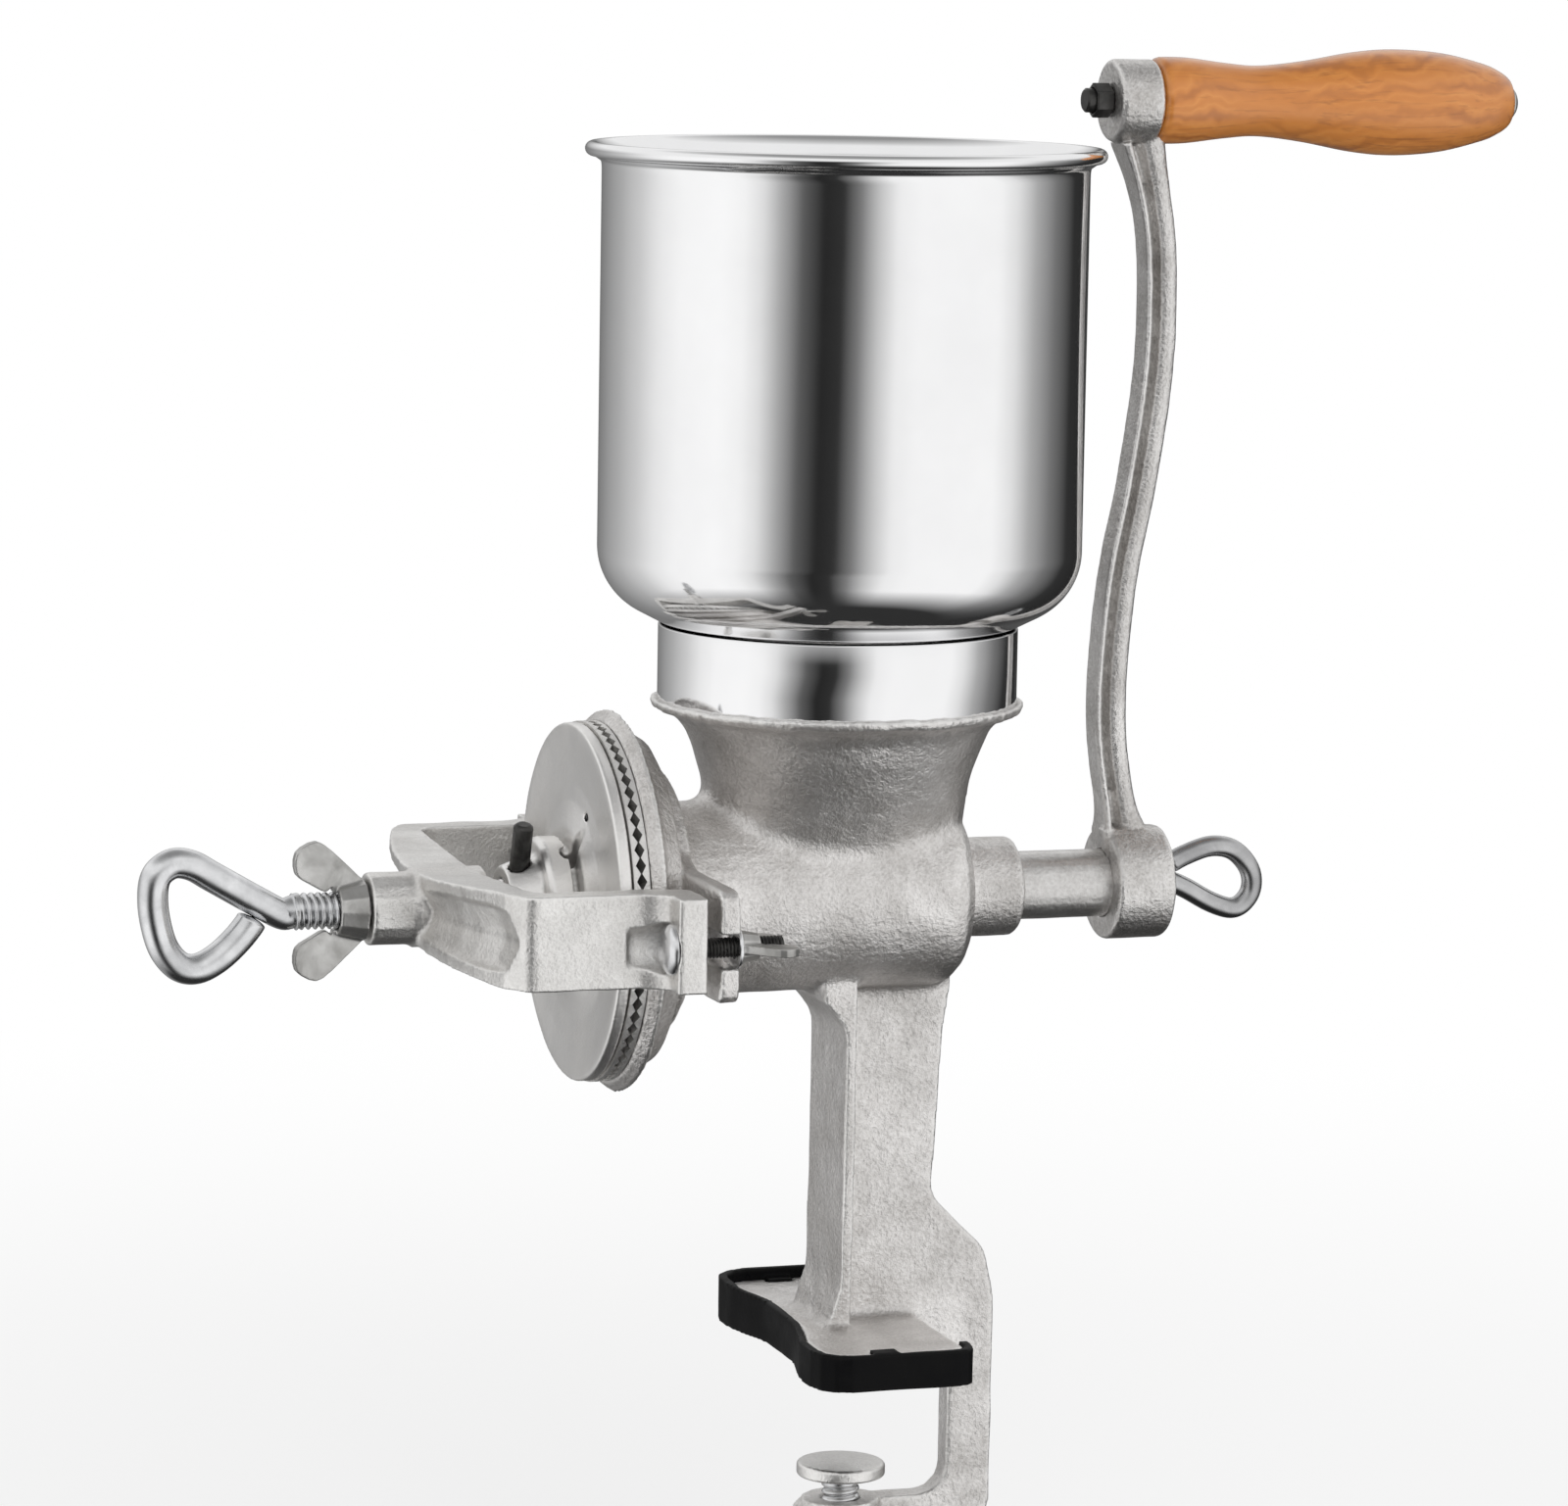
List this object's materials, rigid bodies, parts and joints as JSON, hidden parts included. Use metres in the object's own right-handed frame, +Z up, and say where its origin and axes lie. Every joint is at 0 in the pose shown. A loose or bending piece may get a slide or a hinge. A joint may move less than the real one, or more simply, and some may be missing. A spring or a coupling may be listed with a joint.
{
  "type": "hand crank grain mill",
  "caption": "Table-clamped cast mill with an open hopper, a crank with a turned wooden grip, toothed burr plates and a yoke with an adjusting screw.",
  "frame": {"origin": "on the underside of the rubber foot, where it rests on the table, straight below the hopper's axis", "axes": "+Z up along the hopper's axis, +X along the shaft towards the crank, +Y across the shaft towards the back"},
  "size_m": [0.4457, 0.19, 0.5809],
  "materials": {
    "cast_metal": "satin tinned casting, fine sand-cast grain",
    "polished_sheet": "mirror polished sheet metal",
    "zinc_steel": "bright zinc plated steel",
    "burr_iron": "dark rough cast iron",
    "black_steel": "blackened steel, satin",
    "grip_wood": "varnished orange-brown wood",
    "black_rubber": "matte black rubber"
  },
  "bodies": {
    "frame": {"body_casting": "cast_metal", "rubber_foot": "black_rubber", "hopper_bowl": "polished_sheet", "hopper_collar": "polished_sheet", "stationary_burr": "burr_iron", "stationary_burr_screw_1": "zinc_steel", "stationary_burr_screw_2": "zinc_steel", "thrust_washer": "zinc_steel", "yoke": "cast_metal", "front_bolt": "zinc_steel", "rear_bolt": "zinc_steel", "front_washer": "zinc_steel", "rear_washer": "zinc_steel"},
    "thrust": {"thrust_pad": "burr_iron"},
    "drive": {"auger": "cast_metal", "drive_pin": "black_steel", "rotor_disc": "cast_metal", "rotating_burr": "burr_iron", "rotating_burr_screw_1": "zinc_steel", "rotating_burr_screw_2": "zinc_steel", "crank_arm": "cast_metal", "grip_spindle": "zinc_steel", "spindle_nut": "black_steel"},
    "adjuster": {"adjusting_screw": "zinc_steel"},
    "grip": {"grip_handle": "grip_wood"},
    "eye_bolt": {"crank_eye_bolt": "zinc_steel"},
    "lock_nut": {"lock_wing_nut": "zinc_steel"},
    "front_nut": {"front_wing_nut": "zinc_steel"},
    "rear_nut": {"rear_wing_nut": "zinc_steel"},
    "pad": {"clamp_pad": "cast_metal"},
    "clamp": {"clamp_screw": "zinc_steel"}
  },
  "joints": [
    {"name": "adjust_travel", "type": "slide", "parent": "frame", "child": "thrust", "axis": [-1, 0, 0], "range_m": [0, 0.0021]},
    {"name": "adjust_turn", "type": "hinge", "parent": "thrust", "child": "adjuster", "pos_m": [-0.15, 0, 0.146], "axis": [-1, 0, 0], "range_deg": [0, 344]},
    {"name": "crank_turn", "type": "hinge", "parent": "thrust", "child": "drive", "pos_m": [0, 0, 0.146], "axis": [1, 0, 0], "continuous": true},
    {"name": "grip_spin", "type": "hinge", "parent": "drive", "child": "grip", "pos_m": [0.1007, 0, 0.3922], "axis": [1, 0, 0], "continuous": true},
    {"name": "eye_bolt_turn", "type": "hinge", "parent": "drive", "child": "eye_bolt", "pos_m": [0.1084, 0, 0.146], "axis": [1, 0, 0], "range_deg": [0, 360]},
    {"name": "lock_nut_turn", "type": "hinge", "parent": "frame", "child": "lock_nut", "pos_m": [-0.151, 0, 0.146], "axis": [-1, 0, 0], "range_deg": [0, 360]},
    {"name": "front_nut_turn", "type": "hinge", "parent": "frame", "child": "front_nut", "pos_m": [-0.05, -0.08, 0.1442], "axis": [1, 0, 0], "range_deg": [0, 360]},
    {"name": "rear_nut_turn", "type": "hinge", "parent": "frame", "child": "rear_nut", "pos_m": [-0.05, 0.08, 0.1442], "axis": [1, 0, 0], "range_deg": [0, 360]},
    {"name": "clamp_travel", "type": "slide", "parent": "frame", "child": "pad", "axis": [0, 0, 1], "range_m": [-0.005, 0.034]},
    {"name": "clamp_turn", "type": "hinge", "parent": "pad", "child": "clamp", "pos_m": [0.006, 0, -0.05], "axis": [0, 0, 1], "range_deg": [-721, 4897]}
  ],
  "couplings": [
    {"joint": "adjust_turn", "follows": "adjust_travel", "rad_per_m": 2857.1},
    {"joint": "clamp_turn", "follows": "clamp_travel", "rad_per_m": 2513.2}
  ]
}
